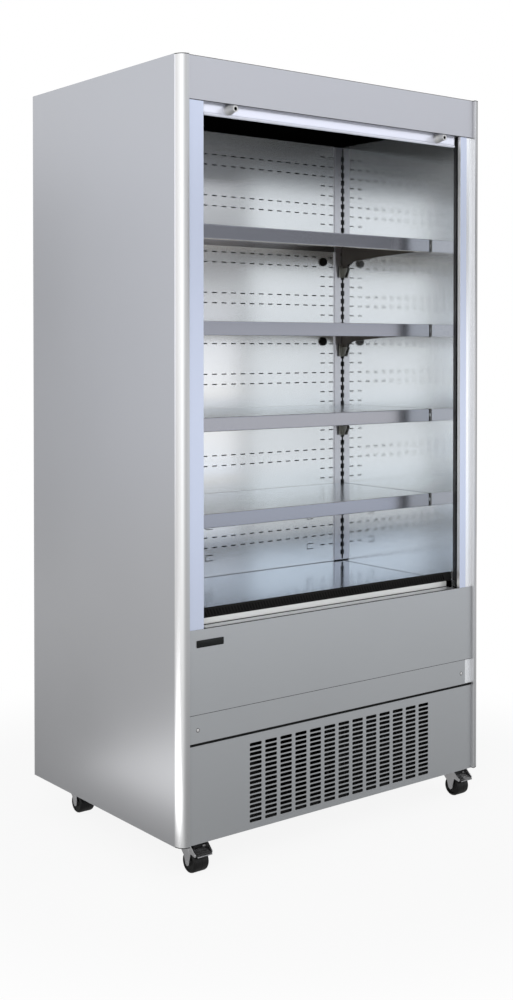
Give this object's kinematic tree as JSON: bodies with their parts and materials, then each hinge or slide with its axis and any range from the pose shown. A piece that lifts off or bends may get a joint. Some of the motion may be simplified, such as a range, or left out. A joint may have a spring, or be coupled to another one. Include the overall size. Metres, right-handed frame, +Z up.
{
  "type": "open multideck display fridge",
  "caption": "Tall open-fronted chilled display cabinet with lift-off shelves, a pull-down night blind, a slotted rear air panel and a plinth machine compartment, on swivel castors.",
  "frame": {"origin": "on the floor, under the middle of the overall width and depth (blind knobs included)", "axes": "+Z up, the open front faces -Y, +X is to the right seen from the front"},
  "size_m": [1, 0.7014, 1.91],
  "materials": {
    "side_paint": "smooth powder coat, satin",
    "front_paint": "smooth powder coat, satin",
    "galvanised": "galvanised sheet",
    "foam": "rigid foam, open skin",
    "liner_steel": "polished stainless sheet",
    "duct_steel": "bright annealed sheet",
    "shelf_steel": "satin stainless sheet",
    "black_sheet": "black coating, satin",
    "black_plastic": "moulded, matt",
    "post_aluminium": "bright anodised extrusion",
    "strip_metal": "satin coating",
    "grille_black": "moulded, matt",
    "sill_metal": "satin coating",
    "blind_aluminium": "satin anodised extrusion",
    "blind_film": "metallised film",
    "blind_roll": "wound film",
    "knob_metal": "turned, satin",
    "plate_metal": "enamelled, gloss",
    "screw_steel": "zinc plated",
    "fin_aluminium": "rolled fin stock",
    "fan_plastic": "moulded, matt",
    "compressor_black": "black enamel",
    "copper": "drawn copper tube",
    "grey_plastic": "moulded, matt",
    "zinc": "zinc plated pressing",
    "wheel_rubber": "moulded tread, matt",
    "pedal_plastic": "moulded, semi-gloss"
  },
  "bodies": {
    "cabinet": {"left_side_panel": "side_paint", "right_side_panel": "side_paint", "back_panel": "galvanised", "top_panel": "galvanised", "foam_insulation": "foam", "side_liners": "liner_steel", "rear_liner": "liner_steel", "well_liner": "liner_steel", "rear_duct_panel": "duct_steel", "rear_panel_plugs": "black_plastic", "ceiling_panel": "black_sheet", "air_curtain_honeycomb": "black_plastic", "corner_posts": "post_aluminium", "post_end_caps": "black_plastic", "header_panel": "front_paint", "lower_front_panel": "front_paint", "strip_cover": "front_paint", "grille_panel": "front_paint", "cover_screws": "screw_steel", "name_plate": "plate_metal", "frame_strips": "strip_metal", "breaker_strips": "black_plastic", "front_sill": "sill_metal", "return_air_grille": "grille_black", "blind_cassette": "galvanised", "shelf_uprights": "shelf_steel", "shelf_brackets": "shelf_steel", "evaporator_fan_plate": "galvanised", "evaporator_coil": "fin_aluminium", "condenser_coil": "fin_aluminium", "condenser_fan_shroud": "black_sheet", "compressor": "compressor_black", "refrigerant_pipes": "copper", "condensate_tray": "grey_plastic", "electrical_box": "grey_plastic", "power_inlet": "black_plastic", "base_frame": "galvanised", "castor_plates": "zinc"},
    "blind_roller": {"blind_roller": "blind_roll"},
    "blind_bar": {"blind_film": "blind_film", "blind_pull_bar": "blind_aluminium", "blind_knobs": "knob_metal"},
    "shelf_1": {"shelf_1": "shelf_steel"},
    "shelf_2": {"shelf_2": "shelf_steel"},
    "shelf_3": {"shelf_3": "shelf_steel"},
    "shelf_4": {"shelf_4": "shelf_steel"},
    "deck": {"deck_panel": "liner_steel"},
    "evaporator_fan_left": {"evaporator_fan_left": "fan_plastic"},
    "evaporator_fan_right": {"evaporator_fan_right": "fan_plastic"},
    "condenser_fan": {"condenser_fan": "fan_plastic"},
    "castor_front_left": {"castor_fork_front_left": "zinc"},
    "wheel_front_left": {"castor_wheel_front_left": "wheel_rubber"},
    "brake_left": {"brake_pedal_left": "pedal_plastic"},
    "castor_front_right": {"castor_fork_front_right": "zinc"},
    "wheel_front_right": {"castor_wheel_front_right": "wheel_rubber"},
    "brake_right": {"brake_pedal_right": "pedal_plastic"},
    "castor_rear_left": {"castor_fork_rear_left": "zinc"},
    "wheel_rear_left": {"castor_wheel_rear_left": "wheel_rubber"},
    "castor_rear_right": {"castor_fork_rear_right": "zinc"},
    "wheel_rear_right": {"castor_wheel_rear_right": "wheel_rubber"}
  },
  "joints": [
    {"name": "blind_slide", "type": "slide", "parent": "cabinet", "child": "blind_bar", "axis": [0, 0, -1], "range_m": [0, 1.19], "stiffness_N_per_m": 12, "springref_m": -1, "deforming": ["blind_film"]},
    {"name": "blind_roller_spin", "type": "hinge", "parent": "cabinet", "child": "blind_roller", "pos_m": [0, -0.29525, 1.852], "axis": [1, 0, 0], "range_deg": [0, 3200]},
    {"name": "shelf_1_lift", "type": "slide", "parent": "cabinet", "child": "shelf_1", "axis": [0, 0, 1], "range_m": [0, 0.03]},
    {"name": "shelf_2_lift", "type": "slide", "parent": "cabinet", "child": "shelf_2", "axis": [0, 0, 1], "range_m": [0, 0.03]},
    {"name": "shelf_3_lift", "type": "slide", "parent": "cabinet", "child": "shelf_3", "axis": [0, 0, 1], "range_m": [0, 0.03]},
    {"name": "shelf_4_lift", "type": "slide", "parent": "cabinet", "child": "shelf_4", "axis": [0, 0, 1], "range_m": [0, 0.03]},
    {"name": "deck_lift", "type": "slide", "parent": "cabinet", "child": "deck", "axis": [0, 0, 1], "range_m": [0, 0.03]},
    {"name": "evaporator_fan_left_spin", "type": "hinge", "parent": "cabinet", "child": "evaporator_fan_left", "pos_m": [-0.2, -0.12575, 0.508], "axis": [0, -1, 0], "continuous": true},
    {"name": "evaporator_fan_right_spin", "type": "hinge", "parent": "cabinet", "child": "evaporator_fan_right", "pos_m": [0.2, -0.12575, 0.508], "axis": [0, -1, 0], "continuous": true},
    {"name": "condenser_fan_spin", "type": "hinge", "parent": "cabinet", "child": "condenser_fan", "pos_m": [0.19, -0.21275, 0.206], "axis": [0, -1, 0], "continuous": true},
    {"name": "castor_front_left_swivel", "type": "hinge", "parent": "cabinet", "child": "castor_front_left", "pos_m": [-0.417, -0.26225, 0.0747], "axis": [0, 0, 1], "continuous": true},
    {"name": "wheel_front_left_roll", "type": "hinge", "parent": "castor_front_left", "child": "wheel_front_left", "pos_m": [-0.417, -0.28425, 0.026], "axis": [1, 0, 0], "continuous": true},
    {"name": "brake_left_press", "type": "hinge", "parent": "castor_front_left", "child": "brake_left", "pos_m": [-0.417, -0.28625, 0.061], "axis": [1, 0, 0], "range_deg": [0, 12]},
    {"name": "castor_front_right_swivel", "type": "hinge", "parent": "cabinet", "child": "castor_front_right", "pos_m": [0.47, -0.26225, 0.0747], "axis": [0, 0, 1], "continuous": true},
    {"name": "wheel_front_right_roll", "type": "hinge", "parent": "castor_front_right", "child": "wheel_front_right", "pos_m": [0.47, -0.28425, 0.026], "axis": [1, 0, 0], "continuous": true},
    {"name": "brake_right_press", "type": "hinge", "parent": "castor_front_right", "child": "brake_right", "pos_m": [0.47, -0.28625, 0.061], "axis": [1, 0, 0], "range_deg": [0, 12]},
    {"name": "castor_rear_left_swivel", "type": "hinge", "parent": "cabinet", "child": "castor_rear_left", "pos_m": [-0.417, 0.25675, 0.0747], "axis": [0, 0, 1], "continuous": true},
    {"name": "wheel_rear_left_roll", "type": "hinge", "parent": "castor_rear_left", "child": "wheel_rear_left", "pos_m": [-0.417, 0.23475, 0.026], "axis": [1, 0, 0], "continuous": true},
    {"name": "castor_rear_right_swivel", "type": "hinge", "parent": "cabinet", "child": "castor_rear_right", "pos_m": [0.47, 0.25675, 0.0747], "axis": [0, 0, 1], "continuous": true},
    {"name": "wheel_rear_right_roll", "type": "hinge", "parent": "castor_rear_right", "child": "wheel_rear_right", "pos_m": [0.47, 0.23475, 0.026], "axis": [1, 0, 0], "continuous": true}
  ],
  "couplings": [
    {"joint": "blind_roller_spin", "follows": "blind_slide", "rad_per_m": 46.512}
  ]
}
